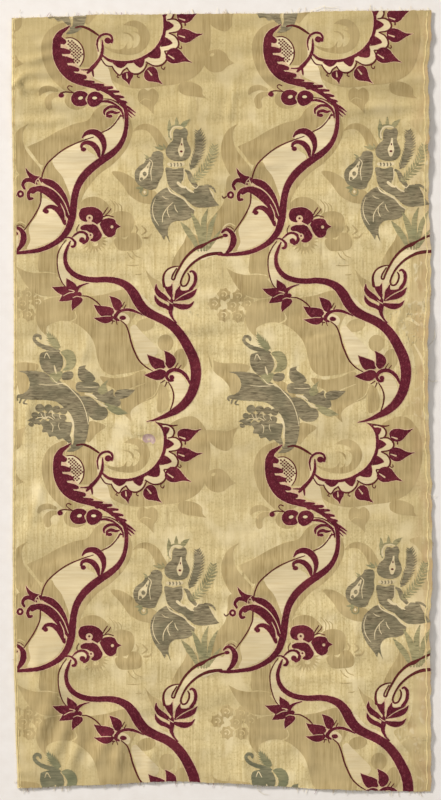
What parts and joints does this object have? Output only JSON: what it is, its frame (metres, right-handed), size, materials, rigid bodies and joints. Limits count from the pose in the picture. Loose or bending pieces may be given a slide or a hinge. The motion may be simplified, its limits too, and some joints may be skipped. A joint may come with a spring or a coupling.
{
  "type": "brocade panel",
  "caption": "Loom-width length of figured silk brocade with selvedges at the sides and raw cut ends, lying flat with soft cockles.",
  "frame": {"origin": "on the table, under the middle of the cloth's bounding box", "axes": "+X across the loom width to the right, +Y up the length of the pattern, +Z out of the face of the cloth"},
  "size_m": [0.5354, 0.994, 0.004],
  "materials": {
    "silk": "figured silk with a soft satin sheen"
  },
  "bodies": {
    "root": {"panel": "silk"}
  },
  "joints": []
}
